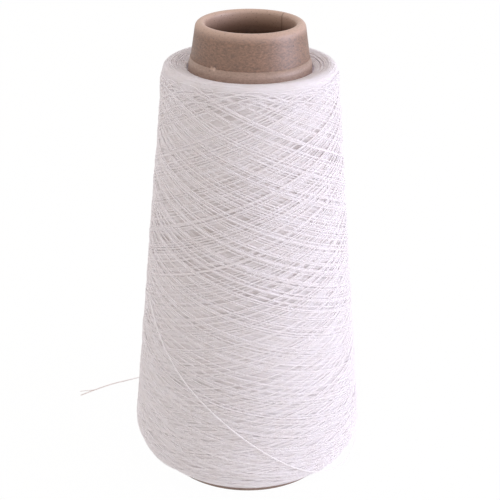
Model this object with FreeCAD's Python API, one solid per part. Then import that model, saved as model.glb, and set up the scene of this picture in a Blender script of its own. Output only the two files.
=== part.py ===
import FreeCAD, Part
import os
from collections import defaultdict
from math import ceil, cos, exp, log, pi, radians, sin, sqrt, tan

# Thread wound crosswise on a paper cone. Millimetres and degrees, +Z up along the cone's axis,
# with the origin in the middle of the foot rim. The camera side is -Y.
# Angles round the axis start at +X and run towards +Y, which is also the way the thread runs.

# Round walls are turned in this many flat facets, and rounded corners in steps of this turn
round_facets = 72
rounding_turn = 0.3

# Paper cone
cone_height = 169.2
cone_taper = 4.0 + 20.0 / 60.0
foot_radius = 33.0
cover_thickness = 0.6
board_thickness = 1.4
liner_thickness = 0.4
ply_setback = 0.1
cover_edge_height = 157.3
cover_edge_chamfer = 0.3
nose_top_radius = 18.7
nose_outer_rounding = 2.0
nose_bore_radius = 15.5
mandrel_bite = 0.1
nose_lip_rounding = 1.4
curl_depth = 6.1
curl_slope = 3.4
liner_clearance = 1.2
lap_start_angle = 55.0
lap_angle = 20.0

# Wound package, as outer sizes
foot_end_height = 1.6
foot_end_slope = 34.0
foot_end_rounding = 13.0
wide_height = 13.6
wide_radius = 43.6
narrow_height = 152.0
narrow_radius = 30.4
nose_end_height = 153.0
crown_height = 155.2
crown_rise_width = 4.4
crown_inner_rounding = 2.5
shoulder_rounding = 2.2

# Thread, and the outer layer of turns
thread_diameter = 0.45
thread_sides = 4
traverse_pairs = 4
turns_in_a_pair = 4
quarters_per_traverse = 7
winding_seat = 0.12
winding_gap = 0.46
foot_turn_height = 12.0
foot_lead = 7.5
nose_lead = 15.5
even_lead_height = 105.0
release_quarters = 3
release_angle = 188.0

# Free outer end of the thread. It crosses the front, hangs slack round the lower right,
# passes behind the package and stands off the left side. Its points follow the release point.
loose_end_route = [
    (-36.3, -13.2, 71.9),
    (-33.7, -20.3, 64.4),
    (-29.6, -27.1, 56.4),
    (-24.0, -33.0, 48.9),
    (-16.9, -37.9, 42.1),
    (-8.8, -41.2, 35.4),
    (0.0, -42.8, 28.3),
    (9.0, -42.5, 21.5),
    (17.6, -40.4, 15.4),
    (25.3, -36.1, 10.6),
    (32.3, -30.1, 8.0),
    (37.8, -23.1, 6.9),
    (41.3, -15.0, 7.7),
    (42.9, -5.6, 8.9),
    (43.4, 4.6, 10.2),
    (41.7, 14.4, 11.8),
    (37.8, 23.1, 13.0),
    (31.0, 31.6, 13.7),
    (22.2, 38.5, 14.1),
    (11.9, 42.8, 13.9),
    (0.8, 44.5, 13.7),
    (-10.8, 43.2, 13.9),
    (-22.7, 38.4, 14.2),
    (-35.5, 30.1, 14.1),
    (-47.6, 22.7, 14.6),
    (-57.8, 16.7, 15.2),
    (-67.5, 10.8, 13.9),
]
split_ply_diameter = 0.25
split_ply_route = [
    (-62.30, 13.96, 14.55),
    (-64.10, 13.05, 14.85),
    (-65.90, 12.00, 15.35),
    (-67.60, 11.00, 15.60),
]

V = FreeCAD.Vector
axis = V(0, 0, 1)


def turned(outline, first_facet=0, facets=round_facets):
    """Solid turned about the axis in flat facets, with the outline's points on the true radius."""
    rings = []
    for facet in range(first_facet, first_facet + facets + 1):
        angle = 2 * pi * facet / round_facets
        rings.append([V(radius * cos(angle), radius * sin(angle), height)
                      for radius, height in outline])
    panels = []
    for ring, following in zip(rings, rings[1:]):
        for i in range(len(outline)):
            panels.append([ring[i - 1], ring[i], following[i], following[i - 1]])
    if facets < round_facets:
        panels += [rings[0], rings[-1]]
    faces = [Part.Face(Part.makePolygon(panel + [panel[0]])) for panel in panels]
    shell = Part.makeShell(faces)
    shell.sewShape()
    return Part.makeSolid(shell).removeSplitter()


def corner_arc(before, corner, after, rounding):
    """Arc of the given radius tangent to both sides of a corner, as its two ends and its middle."""
    back = (before - corner).normalize()
    ahead = (after - corner).normalize()
    half_turn = (pi - back.getAngle(ahead)) / 2
    reach = rounding * tan(half_turn)
    middle_way = (back + ahead).normalize()
    middle = corner + middle_way * (rounding / cos(half_turn) - rounding)
    return corner + back * reach, middle, corner + ahead * reach


def rounded_outline(corners):
    """Outline through (radius, height, rounding) corners, its rounded corners as arcs of points."""
    points = [V(radius, 0, height) for radius, height, _ in corners]
    outline = []
    for i, (radius, height, rounding) in enumerate(corners):
        if not rounding:
            outline.append((radius, height))
            continue
        ends = corner_arc(points[i - 1], points[i], points[(i + 1) % len(points)], rounding)
        arc = Part.Arc(*ends)
        turn = arc.length() / rounding
        outline += [(p.x, p.z) for p in arc.toShape().discretize(ceil(turn / rounding_turn) + 1)]
    return outline


def polygon_section(centre, direction, diameter, sides):
    """Regular outline square to a path's first direction."""
    across = direction.cross(axis).normalize()
    other = direction.cross(across).normalize()
    corners = []
    for i in range(sides + 1):
        turn = 2 * pi * (i + 0.5) / sides
        corners.append(centre + (across * cos(turn) + other * sin(turn)) * (diameter / 2))
    return Part.makePolygon(corners)


def swept_tube(edges, start, direction, diameter, sides):
    """Solid tube along joined edges, with its volume against section times length."""
    path = Part.Wire(edges)
    section = polygon_section(start, direction, diameter, sides)
    shell = Part.BRepOffsetAPI.MakePipeShell(path)
    shell.add(section)
    shell.build()
    shell.makeSolid()
    tube = shell.shape()
    ratio = tube.Volume / (Part.Face(section).Area * path.Length)
    print(f"  length {path.Length:.1f}, volume over section times length {ratio:.4f}")
    return tube


# Paper cone: a liner, the wound board and a cover, glued one in the other. All three are
# sheets wrapped round the same mandrel, so every wall keeps the cone's taper. The cone stands
# on the board's rim, and the two thin plies stop a setback above it.


def cover_radius(height):
    return foot_radius - height * tan(radians(cone_taper))


def board_radius(height):
    return cover_radius(height) - cover_thickness


def inner_radius(height):
    return board_radius(height) - board_thickness


def build_cover_ply():
    """Outer ply. Its top edge shows as a fine ring round the nose."""
    top = cover_edge_height
    return turned(rounded_outline([
        (board_radius(ply_setback), ply_setback, 0),
        (cover_radius(ply_setback), ply_setback, 0),
        (cover_radius(top - cover_edge_chamfer), top - cover_edge_chamfer, 0),
        (cover_radius(top) - cover_edge_chamfer, top, 0),
        (board_radius(top), top, 0),
    ]))


def build_board_plies():
    """Wound board, whose nose is turned in over itself and pressed round a mandrel."""
    curl_bottom = cone_height - curl_depth
    curl_root = curl_bottom - curl_slope
    unpressed_radius = nose_bore_radius - mandrel_bite
    plies = turned(rounded_outline([
        (inner_radius(0), 0, 0),
        (board_radius(0), 0, 0),
        (board_radius(cover_edge_height), cover_edge_height, 0),
        (nose_top_radius, cone_height, nose_outer_rounding),
        (unpressed_radius, cone_height, nose_lip_rounding),
        (unpressed_radius, curl_bottom, 0),
        (inner_radius(curl_root), curl_root, 0),
    ]))
    mandrel = Part.makeCylinder(nose_bore_radius, cone_height)
    return plies.cut(mandrel)


def build_liner_ply():
    """Inner ply, one sheet whose edge laps over its own start and shows as a step."""
    top = cone_height - curl_depth - curl_slope - liner_clearance

    def sheet(offset):
        return [
            (inner_radius(ply_setback) - offset - liner_thickness, ply_setback),
            (inner_radius(ply_setback) - offset, ply_setback),
            (inner_radius(top) - offset, top),
            (inner_radius(top) - offset - liner_thickness, top),
        ]

    whole = turned(sheet(0.0))
    first_facet = round(lap_start_angle / 360 * round_facets)
    lap = turned(sheet(liner_thickness), first_facet, round(lap_angle / 360 * round_facets))
    return whole.fuse(lap).removeSplitter()


# Wound thread. The inside of the package is one plain core. Its outline is the package's own,
# drawn in at the side by the outer layer of turns.

foot_offset = thread_diameter / 2 + winding_seat
nose_offset = foot_offset + thread_diameter + winding_gap
layer_depth = nose_offset + thread_diameter / 2
side_slope = (narrow_radius - wide_radius) / (narrow_height - wide_height)


def side_radius(height):
    """Radius of the core's straight side, under the outer layer."""
    return wide_radius + side_slope * (height - wide_height) - layer_depth


def foot_corner():
    """Where the line of the core's side meets the sloping foot end."""
    rise = tan(radians(foot_end_slope))
    inner = cover_radius(foot_end_height)
    height = foot_end_height + rise * (side_radius(0) - inner)
    height /= 1 - rise * side_slope
    return V(side_radius(height), 0, height)


foot_inner = V(cover_radius(foot_end_height), 0, foot_end_height)
foot_tip = foot_corner()
side_top = V(side_radius(crown_height), 0, crown_height)
foot_arc = corner_arc(foot_inner, foot_tip, side_top, foot_end_rounding)
foot_curve = Part.Arc(*foot_arc).toShape()
foot_centre = foot_curve.Curve.Center
side_normal = V(1, 0, -side_slope).normalize()


def on_core(height, offset):
    """Radius and height of a point that stands off the core's side by an offset."""
    if height >= foot_arc[2].z:
        seat = V(side_radius(height), 0, height)
        normal = side_normal
    else:
        drop = foot_centre.z - height
        reach = sqrt(foot_end_rounding**2 - drop**2)
        seat = V(foot_centre.x + reach, 0, height)
        normal = (seat - foot_centre).normalize()
    point = seat + normal * offset
    return point.x, point.z


def build_core():
    """Inner layers of thread, with a crowned nose end and a foot end that slopes in."""
    nose_inner = cover_radius(nose_end_height)
    return turned(rounded_outline([
        (foot_inner.x, foot_inner.z, 0),
        (foot_tip.x, foot_tip.z, foot_end_rounding),
        (side_top.x, side_top.z, shoulder_rounding),
        (nose_inner + crown_rise_width, crown_height, crown_inner_rounding),
        (nose_inner, nose_end_height, 0),
    ]))


# Outer layer of turns, one unbroken thread. It traverses from foot to nose on the core, turns,
# and comes back over itself. The lead grows from the foot to an even value near the nose.


def lead_and_height(turn):
    """Height after a turn in radians from the foot end of a traverse, and the lead there."""
    growth = (nose_lead - foot_lead) / (even_lead_height - foot_turn_height)
    even_turn = log(nose_lead / foot_lead) / growth
    if turn < even_turn:
        lead = foot_lead * exp(growth * turn)
        return lead, foot_turn_height + (lead - foot_lead) / growth
    return nose_lead, even_lead_height + nose_lead * (turn - even_turn)


def path_point(angle, height, offset):
    radius, height = on_core(height, offset)
    return V(radius * cos(angle), radius * sin(angle), height)


def path_node(angle, height, lead, offset):
    """Point of the thread's path and the direction in which the thread passes it."""
    step = 1e-4
    before = path_point(angle - step, height - lead * step, offset)
    after = path_point(angle + step, height + lead * step, offset)
    return path_point(angle, height, offset), (after - before).normalize()


def winding_nodes():
    """Path points a quarter turn apart, and one more at the crest of each turn-back.

    Each pair of traverses falls short of its whole turns by one strand's share, so that the
    strands of one direction lie evenly round the package.
    """
    quarter = pi / 2
    pair_angle = 2 * pi * (turns_in_a_pair - 1 / traverse_pairs)
    turn_back = (pair_angle / 2 - quarters_per_traverse * quarter) / 2
    nodes = []
    angle = 0.0
    for traverse in range(2 * traverse_pairs):
        way = 1 if traverse % 2 == 0 else -1
        steps = list(range(quarters_per_traverse + 1))[::way]
        if traverse == 2 * traverse_pairs - 1:
            steps = steps[:release_quarters + 1]
        offset = foot_offset if way == 1 else nose_offset
        if nodes:
            angle += 2 * turn_back
            lead, height = lead_and_height(steps[0] * quarter)
            crest = height - way * lead * turn_back / 2
            middle = (foot_offset + nose_offset) / 2
            nodes.append((angle - turn_back, crest, 0.0, middle))
        for count, step in enumerate(steps):
            lead, height = lead_and_height(step * quarter)
            nodes.append((angle + count * quarter, height, way * lead, offset))
        angle += (len(steps) - 1) * quarter
    shift = radians(release_angle) - angle
    return [path_node(at + shift, height, lead, offset) for at, height, lead, offset in nodes]


def tangent_arc(start, direction, end):
    """Arc that leaves a point in a given direction and passes through another point."""
    chord = end - start
    inward = direction.cross(chord).cross(direction).normalize()
    radius = chord.dot(chord) / (2 * chord.dot(inward))
    centre = start + inward * radius
    middle = centre + ((start + end) * 0.5 - centre).normalize() * radius
    return Part.Arc(start, middle, end), radius


def biarc(first, last):
    """Two tangent arcs that join two (point, direction) nodes."""
    start, leaving = first
    end, arriving = last
    chord = end - start
    both = leaving + arriving
    spread = 2 * (1 - leaving.dot(arriving))
    along = chord.dot(both)
    reach = (sqrt(along * along + spread * chord.dot(chord)) - along) / spread
    meeting = (start + end + (leaving - arriving) * reach) * 0.5
    first_arc, first_radius = tangent_arc(start, leaving, meeting)
    second_arc, second_radius = tangent_arc(end, arriving * -1, meeting)
    second_arc = Part.Arc(meeting, second_arc.value(
        (second_arc.FirstParameter + second_arc.LastParameter) / 2), end)
    return [first_arc, second_arc], [first_radius, second_radius]


def least_gap(arcs, diameter):
    """Least gap of a tube to itself, measured between points a quarter millimetre apart."""
    spacing = 0.25
    own_stretch = ceil(8 * diameter / spacing)
    points = []
    for arc in arcs:
        count = ceil(arc.length() / spacing)
        span = arc.LastParameter - arc.FirstParameter
        points += [arc.value(arc.FirstParameter + span * i / count) for i in range(count)]
    cell = 3 * diameter
    cells = defaultdict(list)
    for i, point in enumerate(points):
        cells[tuple(int(c // cell) for c in point)].append(i)
    least = cell
    neighbours = [(x, y, z) for x in (-1, 0, 1) for y in (-1, 0, 1) for z in (-1, 0, 1)]
    for home, members in cells.items():
        for step in neighbours:
            others = cells.get(tuple(h + s for h, s in zip(home, step)), ())
            for i in members:
                for j in others:
                    if j - i > own_stretch:
                        least = min(least, points[i].distanceToPoint(points[j]))
    return least - diameter


def build_outer_winding(nodes):
    """Outer layer of turns as one tube, straight for one diameter at both ends."""
    arcs = []
    radii = []
    for first, last in zip(nodes, nodes[1:]):
        pair, pair_radii = biarc(first, last)
        arcs += pair
        radii += pair_radii
    start, leaving = nodes[0]
    end, arriving = nodes[-1]
    lead_in = Part.LineSegment(start - leaving * thread_diameter, start)
    lead_out = Part.LineSegment(end, end + arriving * thread_diameter)
    edges = [curve.toShape() for curve in [lead_in] + arcs + [lead_out]]
    print(f"outer_winding: least radius {min(radii):.1f}, "
          f"least gap to itself {least_gap(arcs, thread_diameter):.3f}")
    return swept_tube(edges, start - leaving * thread_diameter, leaving,
                      thread_diameter, thread_sides)


# Free end of the thread and the ply that has split from its cut end.


def build_cord(name, route, diameter, sides):
    """Tube of straight runs and tangent arcs, each arc as large as its two runs allow."""
    edges = []
    radii = []
    at = route[0]
    for before, corner, after in zip(route, route[1:], route[2:]):
        half_turn = (corner - before).getAngle(after - corner) / 2
        shorter = min(before.distanceToPoint(corner), corner.distanceToPoint(after))
        radius = 0.45 * shorter / tan(half_turn)
        start, middle, end = corner_arc(before, corner, after, radius)
        edges.append(Part.LineSegment(at, start).toShape())
        edges.append(Part.Arc(start, middle, end).toShape())
        radii.append(radius)
        at = end
    edges.append(Part.LineSegment(at, route[-1]).toShape())
    print(f"{name}: radii " + ", ".join(f"{radius:.0f}" for radius in radii))
    return swept_tube(edges, route[0], route[1] - route[0], diameter, sides)


nodes = winding_nodes()
release_point = nodes[-1][0] + nodes[-1][1] * thread_diameter
print("release point", [round(c, 2) for c in release_point], "way", [round(c, 3) for c in nodes[-1][1]])

parts = {
    "cone_cover_ply": build_cover_ply(),
    "cone_board_plies": build_board_plies(),
    "cone_liner_ply": build_liner_ply(),
    "winding_core": build_core(),
    "outer_winding": build_outer_winding(nodes),
    "loose_end": build_cord("loose_end", [release_point] + [V(*p) for p in loose_end_route],
                            thread_diameter, thread_sides),
    "split_ply": build_cord("split_ply", [V(*p) for p in split_ply_route],
                            split_ply_diameter, thread_sides),
}

os.makedirs("parts", exist_ok=True)
for name, shape in parts.items():
    shape.exportStep(f"parts/{name}.step")
    print(f"{name}: volume {shape.Volume:.1f} mm3, valid {shape.isValid()}")
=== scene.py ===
from math import atan2, ceil, hypot, pi, radians, tan

import bmesh
import bpy
import numpy as np
from mathutils import Matrix, Vector


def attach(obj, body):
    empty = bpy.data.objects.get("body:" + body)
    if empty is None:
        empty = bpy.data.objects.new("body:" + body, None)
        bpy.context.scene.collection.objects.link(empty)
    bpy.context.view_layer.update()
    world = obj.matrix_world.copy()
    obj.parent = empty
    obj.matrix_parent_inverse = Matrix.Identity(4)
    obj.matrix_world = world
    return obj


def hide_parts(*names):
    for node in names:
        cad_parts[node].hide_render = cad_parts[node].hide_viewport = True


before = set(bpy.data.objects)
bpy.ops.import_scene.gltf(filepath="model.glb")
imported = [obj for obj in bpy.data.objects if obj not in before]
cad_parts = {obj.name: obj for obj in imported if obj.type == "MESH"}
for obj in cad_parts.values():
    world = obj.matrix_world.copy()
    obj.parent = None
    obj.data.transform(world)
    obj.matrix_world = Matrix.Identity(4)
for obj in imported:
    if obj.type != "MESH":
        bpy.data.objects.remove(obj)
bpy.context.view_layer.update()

# The set: a white table under a white sky, and one large cool lamp on the right, which leaves the
# left of the spool in a quiet warm grey. The camera looks down at the spool as the photograph does,
# and light passes many times between the white strands before it comes out.

camera_place = (0.0, -0.37691, 0.25415)
camera_pitch = radians(24.3)
camera_roll = 0.00863
lens_px = 1116.63
image_px = 500
sensor_width_mm = 36.0
centre_px = 248.62

camera = bpy.data.objects.new("camera", bpy.data.cameras.new("camera"))
camera.data.sensor_width = sensor_width_mm
camera.data.lens = sensor_width_mm * lens_px / image_px
camera.data.shift_x = 0.5 - centre_px / image_px
camera.data.clip_start = 0.01
camera.matrix_world = (Matrix.Translation(camera_place)
                       @ Matrix.Rotation(pi / 2 - camera_pitch, 4, "X")
                       @ Matrix.Rotation(camera_roll, 4, "Z"))
bpy.context.scene.collection.objects.link(camera)
bpy.context.scene.camera = camera
bpy.context.scene.view_settings.view_transform = "Standard"

bpy.context.scene.cycles.diffuse_bounces = 12
bpy.context.scene.cycles.transmission_bounces = 24
bpy.context.scene.cycles.max_bounces = 32


def linear(hex_colour):
    """An sRGB hex colour as linear RGBA."""
    channels = [int(hex_colour[i:i + 2], 16) / 255 for i in (1, 3, 5)]
    return (*[c / 12.92 if c <= 0.04045 else ((c + 0.055) / 1.055) ** 2.4 for c in channels], 1.0)


def new_material(name):
    """A material that starts with no shader nodes."""
    material = bpy.data.materials.new(name)
    material.use_nodes = True
    material.node_tree.nodes.clear()
    return material


def add_node(material, kind, sockets=None, links=None, **settings):
    """One shader node of a material, or of the world, with its settings, its sockets' values and
    the links that come in."""
    node = material.node_tree.nodes.new("ShaderNode" + kind)
    for name, value in settings.items():
        setattr(node, name, value)
    for name, value in (sockets or {}).items():
        node.inputs[name].default_value = value
    for name, source in (links or {}).items():
        material.node_tree.links.new(source, node.inputs[name])
    return node


def seen_directly(material):
    """1 for a ray from the camera, or by way of gloss or glass, and 0 for a ray of light."""
    path = add_node(material, "LightPath")
    glossy = add_node(material, "Math", operation="MAXIMUM", links={
        0: path.outputs["Is Camera Ray"], 1: path.outputs["Is Glossy Ray"]})
    return add_node(material, "Math", operation="MAXIMUM", links={
        0: glossy.outputs[0], 1: path.outputs["Is Transmission Ray"]}).outputs[0]


# Seen directly, the table glows white as in the photograph, and only a trace of shadow is left.
table_white = "#FBFBFB"
table_half_size = 3.0
table_glow_share = 0.98

table_mesh = bpy.data.meshes.new("table")
table_shape = bmesh.new()
bmesh.ops.create_grid(table_shape, x_segments=1, y_segments=1, size=table_half_size)
table_shape.to_mesh(table_mesh)
table_shape.free()
table = bpy.data.objects.new("table", table_mesh)
bpy.context.scene.collection.objects.link(table)

table_paint = new_material("white_table")
table_colour = add_node(table_paint, "BsdfDiffuse", sockets={"Color": linear(table_white)})
table_glow = add_node(table_paint, "Emission", sockets={"Color": linear("#FFFFFF"), "Strength": 1.0})
table_share = add_node(table_paint, "Math", operation="MULTIPLY", sockets={1: table_glow_share},
                       links={0: seen_directly(table_paint)})
table_mix = add_node(table_paint, "MixShader", links={
    0: table_share.outputs[0], 1: table_colour.outputs[0], 2: table_glow.outputs[0]})
add_node(table_paint, "OutputMaterial", links={"Surface": table_mix.outputs[0]})
table_mesh.materials.append(table_paint)

# The sky that lights the spool is a little warm, and the sky that is seen behind it is white.
sky_light = 1.0
sky_colour = "#FFF3EB"
world = bpy.data.worlds.new("sky")
bpy.context.scene.world = world
world.use_nodes = True
world.node_tree.nodes.clear()
sky_lit = add_node(world, "Background", sockets={"Color": linear(sky_colour), "Strength": sky_light})
sky_seen = add_node(world, "Background", sockets={"Color": linear("#FFFFFF"), "Strength": 1.0})
sky_mix = add_node(world, "MixShader", links={
    0: seen_directly(world), 1: sky_lit.outputs[0], 2: sky_seen.outputs[0]})
add_node(world, "OutputWorld", links={"Surface": sky_mix.outputs[0]})


def add_lamp(name, place, aim, width, power, colour):
    """A square area lamp that points at a place on the spool."""
    lamp = bpy.data.objects.new(name, bpy.data.lights.new(name, "AREA"))
    lamp.data.size = width
    lamp.data.energy = power
    lamp.data.color = linear(colour)[:3]
    way = Vector(place) - Vector(aim)
    lamp.matrix_world = Matrix.Translation(place) @ way.to_track_quat("Z", "Y").to_matrix().to_4x4()
    bpy.context.scene.collection.objects.link(lamp)


add_lamp("window", place=(1.24, -0.32, 0.36), aim=(0.0, 0.0, 0.09), width=0.8, power=12.8,
         colour="#E6E8FF")

# The loose end: the outer end of the thread, a soft waxed 0.45 mm cord that has come off the
# package. It crosses the front, hangs slack round the lower right, passes behind the package and
# stands off the left side, held out by its own wax. One ply has split from the cut end.

thread_diameter = 0.00045
release_point = (-0.03715, -0.00565, 0.07447)
loose_end_route = [
    release_point,
    (-0.0363, -0.0132, 0.0719),
    (-0.0337, -0.0203, 0.0644),
    (-0.0296, -0.0271, 0.0564),
    (-0.0240, -0.0330, 0.0489),
    (-0.0169, -0.0379, 0.0421),
    (-0.0088, -0.0412, 0.0354),
    (0.0000, -0.0428, 0.0283),
    (0.0090, -0.0425, 0.0215),
    (0.0176, -0.0404, 0.0154),
    (0.0253, -0.0361, 0.0106),
    (0.0323, -0.0301, 0.0080),
    (0.0378, -0.0231, 0.0069),
    (0.0413, -0.0150, 0.0077),
    (0.0429, -0.0056, 0.0089),
    (0.0434, 0.0046, 0.0102),
    (0.0417, 0.0144, 0.0118),
    (0.0378, 0.0231, 0.0130),
    (0.0310, 0.0316, 0.0137),
    (0.0222, 0.0385, 0.0141),
    (0.0119, 0.0428, 0.0139),
    (0.0008, 0.0445, 0.0137),
    (-0.0108, 0.0432, 0.0139),
    (-0.0227, 0.0384, 0.0142),
    (-0.0355, 0.0301, 0.0141),
    (-0.0476, 0.0227, 0.0146),
    (-0.0578, 0.0167, 0.0152),
    (-0.0675, 0.0108, 0.0139),
]
split_ply_diameter = 0.00025
split_ply_route = [
    (-0.06230, 0.01396, 0.01455),
    (-0.06410, 0.01305, 0.01485),
    (-0.06590, 0.01200, 0.01535),
    (-0.06760, 0.01100, 0.01560),
]
ply_lay = 0.0013
# Share of painted shade in the furrow between the plies.
furrow_shade_share = 0.25
fibre_translucency = 0.72
# The tail on the left is painted greyer from here outward, as painted shade.
tail_shade_start = -0.042
tail_shade_fade = 0.01


def waxed_thread_material(name, white_hex, stain_and_shade_hex, tail_shade_hex=None):
    """Bleached linen thread under a thin coat of wax: matt fibre with a faint soft shine.

    Each vertex holds its place round the thread and along it, and the two plies are drawn from
    those as a fine slanting furrow, 1.3 mm from one turn of the ply to the next, with painted shade
    in it. Where it is given, the tail that stands off on the left is painted greyer, as painted shade.
    """
    material = new_material(name)
    lay = add_node(material, "Attribute", attribute_name="lay")
    axes = add_node(material, "SeparateXYZ", links={0: lay.outputs["Vector"]})
    around = add_node(material, "Math", operation="ARCTAN2", links={
        0: axes.outputs["X"], 1: axes.outputs["Y"]})
    twist = add_node(material, "Math", operation="MULTIPLY_ADD", links={
        0: axes.outputs["Z"], 2: around.outputs[0]}, sockets={1: 2 * pi / ply_lay})
    ply = add_node(material, "Math", operation="SINE", links={0: twist.outputs[0]})
    # The furrow between the plies is painted a little darker, as painted shade; the stain is the
    # thread's own uneven tone.
    furrow = add_node(material, "MapRange", links={"Value": ply.outputs[0]}, sockets={
        "From Min": -1.0, "From Max": 0.0, "To Min": 1.0, "To Max": 0.0})
    place = add_node(material, "TexCoord")
    batch = add_node(material, "TexNoise", links={"Vector": place.outputs["Object"]}, sockets={
        "Scale": 320.0, "Detail": 2.0})
    stain = add_node(material, "MapRange", links={"Value": batch.outputs[0]}, sockets={
        "From Min": 0.35, "From Max": 0.7, "To Min": 0.0, "To Max": 0.45})
    both = add_node(material, "Math", operation="MULTIPLY_ADD", links={
        0: furrow.outputs[0], 2: stain.outputs[0]}, sockets={1: furrow_shade_share})
    colour = add_node(material, "Mix", data_type="RGBA", links={"Factor": both.outputs[0]}, sockets={
        "A": linear(white_hex), "B": linear(stain_and_shade_hex)})
    if tail_shade_hex:
        axes = add_node(material, "SeparateXYZ", links={0: place.outputs["Object"]})
        # Painted shade: the tail on the left is greyed towards its own colour.
        tail = add_node(material, "MapRange", links={"Value": axes.outputs["X"]}, sockets={
            "From Min": tail_shade_start, "From Max": tail_shade_start - tail_shade_fade, "To Min": 0.0, "To Max": 1.0})
        colour = add_node(material, "Mix", data_type="RGBA", links={
            "Factor": tail.outputs[0], "A": colour.outputs["Result"]}, sockets={"B": linear(tail_shade_hex)})
    bump = add_node(material, "Bump", links={"Height": ply.outputs[0]}, sockets={
        "Strength": 0.3, "Distance": 0.00005})
    fibre = add_node(material, "BsdfPrincipled", sockets={
        "Roughness": 0.62, "IOR": 1.45, "Specular IOR Level": 0.3},
        links={"Base Color": colour.outputs["Result"], "Normal": bump.outputs[0]})
    glow = add_node(material, "BsdfTranslucent", links={"Color": colour.outputs["Result"]})
    thread = add_node(material, "MixShader", sockets={0: fibre_translucency}, links={
        1: fibre.outputs[0], 2: glow.outputs[0]})
    add_node(material, "OutputMaterial", links={"Surface": thread.outputs[0]})
    return material


waxed_thread = waxed_thread_material("waxed_thread", "#FFFEFF", "#FDFBFB")
# The loose end's tail is painted greyer, as painted shade.
tail_shaded_thread = waxed_thread_material("tail_shaded_thread", "#FFFEFF", "#FDFBFB", tail_shade_hex="#F3EDEC")


def mesh_of(curve):
    """The mesh of a curve as it stands: a line of vertices, or a tube where it has a bevel."""
    holder = bpy.data.objects.new(curve.name, curve)
    bpy.context.scene.collection.objects.link(holder)
    bpy.context.view_layer.update()
    mesh = bpy.data.meshes.new_from_object(holder.evaluated_get(bpy.context.evaluated_depsgraph_get()))
    bpy.data.objects.remove(holder)
    return mesh


def new_spline(name, kind, points):
    """A curve in space with one spline through its points, or drawn by them as a NURBS spline."""
    curve = bpy.data.curves.new(name, "CURVE")
    curve.dimensions = "3D"
    spline = curve.splines.new(kind)
    spline.points.add(len(points) - 1)
    spline.points.foreach_set("co", np.column_stack([points, np.ones(len(points))]).ravel())
    return curve, spline


def smooth_line(route):
    """Points along the smooth line of a thread that lies free, which its route's points draw."""
    curve, spline = new_spline("line", "NURBS", route)
    spline.order_u = 3
    spline.use_endpoint_u = True
    spline.resolution_u = 16
    return [vertex.co.copy() for vertex in mesh_of(curve).vertices]


def thread_mesh(name, line, diameter, more_sides=1):
    """Tube of a thread along a line, its two caps' vertices first. Each vertex holds its lay: its
    place round the thread, as a unit vector in X and Y, and its distance along it in Z."""
    curve, _ = new_spline(name, "POLY", line)
    curve.bevel_depth = diameter / 2
    curve.bevel_resolution = more_sides
    curve.use_fill_caps = True
    mesh = mesh_of(curve)
    rings = np.concatenate([[0, len(line) - 1], np.arange(len(line))])
    sides = len(mesh.vertices) // len(rings)
    step = np.linalg.norm(np.diff(np.array(line), axis=0), axis=1)
    along = np.repeat(np.concatenate([[0], np.cumsum(step)])[rings], sides)
    around = np.tile(2 * pi * np.arange(sides) / sides, len(rings))
    lay = mesh.attributes.new("lay", "FLOAT_VECTOR", "POINT")
    lay.data.foreach_set("vector", np.column_stack([np.cos(around), np.sin(around), along]).ravel())
    return mesh


def add_piece(name, data, material, slot, *nodes):
    """Puts a finished piece on the spool, in place of the plain solids that it stands for."""
    piece = bpy.data.objects.new(name, data)
    bpy.context.scene.collection.objects.link(piece)
    data.materials.clear()
    data.materials.append(material)
    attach(piece, "root")
    if nodes:
        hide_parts(*nodes)
    return piece


loose_line = smooth_line(loose_end_route)
loose_end = add_piece("loose_end", thread_mesh("loose_end", loose_line, thread_diameter, more_sides=3),
                      tail_shaded_thread, "thread", "loose_end")
split_ply = add_piece(
    "split_ply", thread_mesh("split_ply", smooth_line(split_ply_route), split_ply_diameter),
    tail_shaded_thread, "thread", "split_ply")

# The inside of the package: layer on layer of the same thread, wound so close that it shows as one
# pale body between the strands of the outer layers. It widens from 60 mm at the nose to 87 mm just
# above the foot, where the ends of the layers slope in to the paper cone.

foot_inner = (0.03288, 0.0016)
foot_tip = (0.04393, 0.00912)
foot_rounding = 0.0130
side_top = (0.03008, 0.1550)
shoulder_rounding = 0.0022
crown_inner = (0.0274, 0.1549)
crown_rounding = 0.0015
nose_inner = (0.02140, 0.1530)
facets_round = 192
top_lean = 0.025
lean_start = 0.148
lean_end = 0.158


def rounded_outline(corners, segments, closed=False):
    """Outline in the XZ plane through ((radius, height), rounding) corners."""
    shape = bmesh.new()
    vertices = [shape.verts.new((radius, 0.0, height)) for (radius, height), _ in corners]
    for before, after in zip(vertices, vertices[1:]):
        shape.edges.new((before, after))
    if closed:
        shape.edges.new((vertices[-1], vertices[0]))
    places = [vertex.co.copy() for vertex in vertices]
    for i, (_, rounding) in enumerate(corners):
        if not rounding:
            continue
        back = places[i - 1] - places[i]
        ahead = places[(i + 1) % len(places)] - places[i]
        bmesh.ops.bevel(shape, geom=[vertices[i]], offset=rounding / tan(back.angle(ahead) / 2),
                        offset_type="OFFSET", affect="VERTICES", segments=segments, profile=0.5,
                        material=-1)
    return shape


def outline_points(shape):
    """The vertices of an open outline in order, as an array of radii and heights."""
    at = min((v for v in shape.verts if len(v.link_edges) == 1), key=lambda v: v.co.z)
    points = [at.co.copy()]
    edge = at.link_edges[0]
    while True:
        at = edge.other_vert(at)
        points.append(at.co.copy())
        onward = [e for e in at.link_edges if e is not edge]
        if not onward:
            return np.array([(p.x, p.z) for p in points])
        edge = onward[0]


def leaned(points):
    """Points of the spool with the lean that its top has: the nose, and the crown of thread round
    it, sit a little lower in front and higher at the back."""
    share = np.clip((points[:, 2] - lean_start) / (lean_end - lean_start), 0, 1)
    return points + np.outer(points[:, 1] * share * top_lean, (0.0, 0.0, 1.0))


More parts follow.
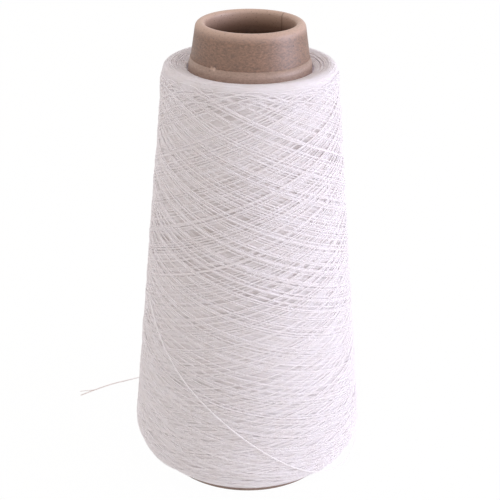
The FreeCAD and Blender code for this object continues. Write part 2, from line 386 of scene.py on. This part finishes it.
def spun_mesh(name, shape, steps):
    """Spins an outline once round the spool's axis into a mesh with smooth faces and the lean."""
    bmesh.ops.spin(shape, geom=shape.verts[:] + shape.edges[:], axis=(0, 0, 1), cent=(0, 0, 0),
                   angle=2 * pi, steps=steps, use_merge=True)
    bmesh.ops.recalc_face_normals(shape, faces=shape.faces)
    for face in shape.faces:
        face.smooth = True
    mesh = bpy.data.meshes.new(name)
    shape.to_mesh(mesh)
    shape.free()
    points = np.array([vertex.co for vertex in mesh.vertices])
    mesh.vertices.foreach_set("co", leaned(points).ravel())
    return mesh


package_outline = outline_points(rounded_outline([
    (foot_inner, 0.0), (foot_tip, foot_rounding), (side_top, shoulder_rounding),
    (crown_inner, crown_rounding), (nose_inner, 0.0)], segments=10))


# The outer layers: one unbroken thread, led up and down the turning package. It always runs the
# same way round, climbs steeper near the nose, and turns back at both ends. Each strand is taut, so
# it is a bit thinner than the loose end, lies on what crosses under it and bridges the gaps.

columns = 720
row_height = 0.00025
strand_diameter = 0.00042
strand_press = 0.45
flank_share = 0.75
pile_share = 0.36
foot_lead = 0.0074
nose_lead = 0.0155
foot_lead_height = 0.0120
even_lead_height = 0.1050
strand_pairs = 230
inner_pairs = 110
inner_turns_in_a_pair = 4.1382
turns_in_a_pair = 4.1011
pair_jitter = 0.002
foot_turn_height = 0.0075
nose_turn_height = 0.1525
turn_scatter_rows = 5.0
turn_rounding_columns = 18
end_turn_pitch = 0.00042
end_turn_passes = 3
end_margin_rows = 3
foot_overlap_rows = 20
nose_overlap_rows = 8
sway_columns = 60
sway_rows = 0.6
level_rows = 12
top_percent = 93
inside_percent = 30
package_radius = 0.042
columns_per_point = 12
rows_per_core_point = 3
winding_pieces = 6


def evenly_along(outline, spacing):
    """The outline at even steps of its own length, with its outward normals."""
    length = np.concatenate([[0], np.cumsum(np.hypot(*np.diff(outline, axis=0).T))])
    places = np.arange(0, length[-1], spacing)
    points = np.column_stack([np.interp(places, length, outline[:, i]) for i in (0, 1)])
    slope = np.gradient(points, axis=0)
    slope /= np.hypot(*slope.T)[:, None]
    return points, np.column_stack([slope[:, 1], -slope[:, 0]])


# The heap is how high the thread that is laid so far stands, at each row up the outline and each
# column round the package. A strand's path is its row at one column after another.
outer_points, outward = evenly_along(package_outline, row_height)
row_count = len(outer_points)
every_row = np.arange(row_count)
heap = np.zeros((row_count, columns))
chance = np.random.default_rng(7)


def row_at(height):
    """The first row of the outline that reaches a height."""
    return int(np.argmax(outer_points[:, 1] >= height))


def smooth(values, spread):
    """Running mean with a bell-shaped weight, its ends held."""
    reach = 3 * spread
    weight = np.exp(-0.5 * (np.arange(-reach, reach + 1) / spread) ** 2)
    held = np.concatenate([np.full(reach, values[0]), values, np.full(reach, values[-1])])
    return np.convolve(held, weight / weight.sum(), mode="valid")


def taut(support):
    """Height of a taut thread over what lies under it, on a package that curves away."""
    run = 2 * pi / columns * package_radius * np.arange(len(support))
    fall = run * run / (2 * package_radius)
    level = (support - fall).tolist()
    kept = []
    for i, here in enumerate(level):
        while len(kept) > 1:
            a, b = kept[-2], kept[-1]
            if (level[b] - level[a]) * (i - a) > (here - level[a]) * (b - a):
                break
            kept.pop()
        kept.append(i)
    return np.interp(np.arange(len(level)), kept, [level[i] for i in kept]) + fall


def lay_down(path, first_column, held=None):
    """Lays a strand on the heap along its rows, and gives its height on it. A stretch that goes on
    from another one starts no lower than the height at which that one is held."""
    column = (first_column + np.arange(len(path))) % columns
    row = np.clip(np.round(path).astype(int), 1, row_count - 2)
    support = np.maximum.reduce([heap[row + side, column] for side in (-1, 0, 1)])
    if held is not None:
        support[0] = max(held, support[0])
    height = taut(support)
    for side, share in ((0, 1.0), (-1, flank_share), (1, flank_share)):
        top = height + strand_diameter * strand_press * share
        np.maximum.at(heap, (row + side, column), top)
    return height


def swaying(path):
    """The path of a strand with the small uneven sway that the thread guide gives it."""
    sway = smooth(chance.normal(0, 1, len(path)), sway_columns)
    return path + sway / sway.std() * sway_rows


def end_turns(first_row, last_row):
    """Turns laid side by side over an end of the package, where the thread turns back."""
    turns = abs(last_row - first_row) * row_height / end_turn_pitch
    return np.linspace(first_row, last_row, int(turns * columns))


lead_share = np.clip((outer_points[:, 1] - foot_lead_height)
                     / (even_lead_height - foot_lead_height), 0, 1)
lead = foot_lead + (nose_lead - foot_lead) * lead_share
turn_at_row = np.concatenate([[0], np.cumsum(row_height / lead[:-1])])

end_paths = [swaying(end_turns(end_margin_rows, row_at(foot_turn_height) + foot_overlap_rows))
             for _ in range(end_turn_passes)]
end_paths += [swaying(end_turns(row_count - 1 - end_margin_rows,
                                row_at(nose_turn_height) - nose_overlap_rows))
              for _ in range(end_turn_passes)]

# A way up and a way down together take a little over four turns, so each pair of them starts a bit
# further round than the last, and the strands cross in diamonds. The count changes once on the way.
turning = np.arange(2 * strand_pairs + 1)
turns_to_next = np.where(turning < 2 * inner_pairs, inner_turns_in_a_pair, turns_in_a_pair) / 2
turning_column = (np.cumsum(turns_to_next) + chance.normal(0, pair_jitter, len(turning))) * columns
turning_column -= turning_column[0]
turning_row = (np.where(turning % 2 == 0, row_at(foot_turn_height), row_at(nose_turn_height))
               + chance.normal(0, turn_scatter_rows, len(turning)))
turning_turn = np.interp(turning_row, every_row, turn_at_row)
turn_now = np.interp(np.arange(int(turning_column[-1])), turning_column, turning_turn)
crossing = swaying(smooth(np.interp(turn_now, turn_at_row, every_row), turn_rounding_columns))

end_heights = [lay_down(path, 0) for path in end_paths]
crossing_height = np.zeros(len(crossing))
held = None
for start, end in zip(turning_column[:-1].astype(int), turning_column[1:].astype(int)):
    crossing_height[start:end + 1] = lay_down(crossing[start:end + 1], start, held)
    held = crossing_height[min(end, len(crossing) - 1)]

# The outline goes through the heap's upper strands, and the body of the inside comes up to where
# most of the gaps end. Wound thread is pressed, so only a share of the heap's depth is left.
top_level = smooth(np.percentile(heap, top_percent, axis=1), level_rows)
inside_level = smooth(np.percentile(heap, inside_percent, axis=1), level_rows)
inside_points = outer_points - outward * (pile_share * (top_level - inside_level))[:, None]


def in_space(path, height):
    """A strand's middle line in space, from its rows and heights."""
    angle = 2 * pi * np.arange(len(path)) / columns
    stand = strand_diameter / 2 + pile_share * (height - np.interp(path, every_row, top_level))
    across, up = [np.interp(path, every_row, outer_points[:, i])
                  + stand * np.interp(path, every_row, outward[:, i]) for i in (0, 1)]
    return leaned(np.column_stack([across * np.cos(angle), across * np.sin(angle), up]))


core_shape = bmesh.new()
core_rim = [core_shape.verts.new((across, 0.0, up))
            for across, up in inside_points[::rows_per_core_point]]
for below, above in zip(core_rim, core_rim[1:]):
    core_shape.edges.new((below, above))
add_piece("inner_layers", spun_mesh("inner_layers", core_shape, facets_round), waxed_thread, "thread",
          "winding_core")

for i, (path, height) in enumerate(zip(end_paths, end_heights)):
    line = in_space(path, height)[::columns_per_point]
    add_piece(f"end_turns_{i + 1}", thread_mesh("end_turns", line, strand_diameter),
              waxed_thread, "thread")
winding_line = in_space(crossing, crossing_height)[::columns_per_point]
points_in_piece = ceil(len(winding_line) / winding_pieces)
for i in range(winding_pieces):
    stretch = winding_line[i * points_in_piece:(i + 1) * points_in_piece + 1]
    add_piece(f"outer_winding_{i + 1}", thread_mesh("outer_winding", stretch, strand_diameter),
              waxed_thread, "thread", "outer_winding")

# The paper cone that the thread is wound on. Its wall is several turns of grey-brown chipboard,
# glued and pressed, and at the nose it is curled in over itself into a round smooth lip. A thinner
# paper covers it up to the nose, and another lines it and laps over its own edge.

cone_steps = 288
board_foot_inner = (0.03100, 0.0)
board_foot_outer = (0.03240, 0.0)
board_ring = (0.02048, 0.1573)
nose_outer = (0.0187, 0.1692)
nose_outer_rounding = 0.0020
nose_lip = (0.0155, 0.1692)
nose_lip_rounding = 0.0014
curl_edge = (0.0155, 0.1631)
curl_foot = (0.01890, 0.1597)
cover_thickness = 0.0006
cover_rim_width = 0.00015
cover_edge_drop = 0.0021
cover_edge_flare = 0.00016
cover_edge_rounding = 0.0030
liner_thickness = 0.0004
ply_setback = 0.0001
lap_start = radians(55)
lap_width = radians(20)
# The lip and the curl's turned-in wall are painted paler, partly for rubbing and partly as painted
# sheen.
lip_wear_and_sheen_start = 0.1655
lip_wear_and_sheen_full = 0.1690
curl_radius = 0.0163
curl_fade_radius = 0.0172
# Painted shade: the turned-in wall is painted darker from here down into the bore.
depth_shade_start = 0.1680
depth_shade_full = 0.1640
deep_shade_hex = "#8A6D5F"
seam_angle = radians(45.5)
seam_half_angle = 0.010
seam_fade_angle = 0.024
seam_hex = "#553A2E"
pulp_stretch = (0.7, 0.7, 1.3)
mark_full = 0.6
mark_end = 1.2
# The fleck's three dark marks are painted shade of its pits; the pale fleck and the two specks are the
# board's own colour.
nose_marks = [
    ((-0.01161, -0.01686, 0.1574), 0.00060, "#553B2F"),
    ((-0.01199, -0.01693, 0.1569), 0.00070, "#C6AC9E"),
    ((-0.01287, -0.01621, 0.1570), 0.00065, "#B49787"),
    ((-0.01356, -0.01633, 0.1562), 0.00045, "#4F382D"),
    ((-0.01345, -0.01588, 0.1589), 0.00030, "#553B2F"),
    ((0.01422, -0.01333, 0.1640), 0.00040, "#4A342B"),
    ((0.01304, -0.01423, 0.1652), 0.00030, "#5E473C"),
]


def slope_radius(height, foot, top):
    """Radius at a height of the straight slope from a foot corner of the board to one at its top."""
    return foot[0] + (top[0] - foot[0]) * height / top[1]


def rubbed_lit_and_shaded(material, place, rubbed_and_sheen_hex, pulp):
    """The pulp's colour, paler over the lip and on the turned-in wall, partly from rubbing and partly
    as painted sheen; the wall is painted darker in its depth as painted shade, and has the seam where
    the paper's ends meet."""
    axes = add_node(material, "SeparateXYZ", links={0: place})
    lip = add_node(material, "MapRange", links={"Value": axes.outputs["Z"]}, sockets={
        "From Min": lip_wear_and_sheen_start, "From Max": lip_wear_and_sheen_full, "To Min": 0.0, "To Max": 0.8})
    flat = add_node(material, "VectorMath", operation="MULTIPLY", links={0: place}, sockets={
        1: (1.0, 1.0, 0.0)})
    across = add_node(material, "VectorMath", operation="LENGTH", links={0: flat.outputs[0]})
    curl = add_node(material, "MapRange", links={"Value": across.outputs["Value"]}, sockets={
        "From Min": curl_radius, "From Max": curl_fade_radius, "To Min": 0.75, "To Max": 0.0})
    share = add_node(material, "Math", operation="MAXIMUM", links={
        0: lip.outputs[0], 1: curl.outputs[0]})
    # Painted shade: the turned-in wall darkens towards its depth inside the bore.
    depth = add_node(material, "MapRange", links={"Value": axes.outputs["Z"]}, sockets={
        "From Min": depth_shade_start, "From Max": depth_shade_full, "To Min": 0.0, "To Max": 1.0})
    wall = add_node(material, "Mix", data_type="RGBA", links={"Factor": depth.outputs[0]}, sockets={
        "A": linear(rubbed_and_sheen_hex), "B": linear(deep_shade_hex)})
    rubbed_lit_and_shaded_pulp = add_node(material, "Mix", data_type="RGBA", links={
        "Factor": share.outputs[0], "A": pulp, "B": wall.outputs["Result"]})
    turn = add_node(material, "Math", operation="ARCTAN2", links={
        0: axes.outputs["Y"], 1: axes.outputs["X"]})
    past = add_node(material, "Math", operation="SUBTRACT", links={0: turn.outputs[0]}, sockets={
        1: seam_angle})
    off = add_node(material, "Math", operation="ABSOLUTE", links={0: past.outputs[0]})
    line = add_node(material, "MapRange", links={"Value": off.outputs[0]}, sockets={
        "From Min": seam_half_angle, "From Max": seam_fade_angle, "To Min": 0.7, "To Max": 0.0})
    seam = add_node(material, "Math", operation="MULTIPLY", links={
        0: line.outputs[0], 1: curl.outputs[0]})
    return add_node(material, "Mix", data_type="RGBA", links={
        "Factor": seam.outputs[0], "A": rubbed_lit_and_shaded_pulp.outputs["Result"]}, sockets={
        "B": linear(seam_hex)}).outputs["Result"]


def marked(material, place, colour):
    """A colour with the small marks on the nose: a torn fleck of pulp, its pits painted dark as painted
    shade, and two specks.
    Each mark is full over most of its radius, and gone a little outside it."""
    for at, radius, mark_hex in nose_marks:
        away = add_node(material, "VectorMath", operation="DISTANCE", links={0: place}, sockets={1: at})
        share = add_node(material, "MapRange", links={"Value": away.outputs["Value"]}, sockets={
            "From Min": radius * mark_full, "From Max": radius * mark_end, "To Min": 0.85,
            "To Max": 0.0})
        colour = add_node(material, "Mix", data_type="RGBA", links={
            "Factor": share.outputs[0], "A": colour}, sockets={"B": linear(mark_hex)}).outputs["Result"]
    return colour


def paper_material(name, board_hex, dark_hex, light_hex, rubbed_and_sheen_hex=None):
    """Grey-brown waste-paper board: fine mottled pulp with dark specks and a faint pressed sheen.

    The pulp's fibres lie the way that the paper was wound, so its mottle is longer round the cone.
    """
    material = new_material(name)
    place = add_node(material, "TexCoord").outputs["Object"]
    drawn = add_node(material, "VectorMath", operation="MULTIPLY", links={0: place}, sockets={
        1: pulp_stretch}).outputs[0]
    mottle = add_node(material, "TexNoise", links={"Vector": drawn}, sockets={
        "Scale": 1400.0, "Detail": 3.0, "Roughness": 0.7})
    speckle = add_node(material, "TexNoise", links={"Vector": drawn}, sockets={
        "Scale": 2300.0, "Detail": 2.0, "Roughness": 0.6})
    light = add_node(material, "MapRange", links={"Value": mottle.outputs[0]}, sockets={
        "From Min": 0.33, "From Max": 0.67, "To Min": 0.0, "To Max": 1.0})
    pulp = add_node(material, "Mix", data_type="RGBA", links={"Factor": light.outputs[0]}, sockets={
        "A": linear(board_hex), "B": linear(light_hex)}).outputs["Result"]
    # Where given, the lip and turned-in wall get paler pulp, partly from rubbing and partly painted
    # sheen, with painted shade in the depth.
    if rubbed_and_sheen_hex:
        pulp = rubbed_lit_and_shaded(material, place, rubbed_and_sheen_hex, pulp)
    speck = add_node(material, "MapRange", links={"Value": speckle.outputs[0]}, sockets={
        "From Min": 0.60, "From Max": 0.72, "To Min": 0.0, "To Max": 0.6})
    colour = add_node(material, "Mix", data_type="RGBA", links={
        "Factor": speck.outputs[0], "A": pulp}, sockets={"B": linear(dark_hex)})
    bump = add_node(material, "Bump", links={"Height": mottle.outputs[0]}, sockets={
        "Strength": 0.5, "Distance": 0.00015})
    paper = add_node(material, "BsdfPrincipled", sockets={
        "Roughness": 0.52, "IOR": 1.5, "Specular IOR Level": 1.0}, links={
        "Base Color": marked(material, place, colour.outputs["Result"]), "Normal": bump.outputs[0]})
    add_node(material, "OutputMaterial", links={"Surface": paper.outputs[0]})
    return material


# The chipboard's paler curl colour is partly rubbed paper and partly painted sheen.
chipboard = paper_material("chipboard", "#5E4637", "#3B281E", "#8A6752", rubbed_and_sheen_hex="#C6AB9C")
cover_paper = paper_material("cover_paper", "#8A7366", "#5C483C", "#A2887A")
liner_paper = paper_material("liner_paper", "#6E5243", "#4A3629", "#7E6150")

board_shape = rounded_outline([
    (board_foot_inner, 0.0), (board_foot_outer, 0.0), (board_ring, 0.0),
    (nose_outer, nose_outer_rounding), (nose_lip, nose_lip_rounding),
    (curl_edge, 0.0), (curl_foot, 0.0)], segments=10, closed=True)
add_piece("cone_board_plies", spun_mesh("cone_board_plies", board_shape, cone_steps),
          chipboard, "chipboard", "cone_board_plies")

cover_foot = slope_radius(ply_setback, board_foot_outer, board_ring)
cover_shape = rounded_outline([
    ((cover_foot, ply_setback), 0.0), ((cover_foot + cover_thickness, ply_setback), 0.0),
    ((board_ring[0] + cover_thickness + cover_edge_flare, board_ring[1] - cover_edge_drop),
     cover_edge_rounding),
    ((board_ring[0] + cover_rim_width, board_ring[1]), 0.0), (board_ring, 0.0)],
    segments=4, closed=True)
add_piece("cone_cover_ply", spun_mesh("cone_cover_ply", cover_shape, cone_steps),
          cover_paper, "cover_paper", "cone_cover_ply")

liner_top = 0.1585
liner_foot_radius = slope_radius(ply_setback, board_foot_inner, curl_foot)
liner_top_radius = slope_radius(liner_top, board_foot_inner, curl_foot)
liner_shape = rounded_outline([
    ((liner_foot_radius, ply_setback), 0.0), ((liner_top_radius, liner_top), 0.0),
    ((liner_top_radius - liner_thickness, liner_top), 0.0),
    ((liner_foot_radius - liner_thickness, ply_setback), 0.0)], segments=1, closed=True)
liner_mesh = spun_mesh("cone_liner_ply", liner_shape, cone_steps)
# On its lap the liner is two sheets thick, and its inner side stands one thickness further in.
for vertex in liner_mesh.vertices:
    across = hypot(vertex.co.x, vertex.co.y)
    inside = across < slope_radius(vertex.co.z, board_foot_inner, curl_foot) - liner_thickness / 2
    if inside and 0 <= atan2(vertex.co.y, vertex.co.x) - lap_start <= lap_width:
        vertex.co.xy *= (across - liner_thickness) / across
add_piece("cone_liner_ply", liner_mesh, liner_paper, "liner_paper", "cone_liner_ply")
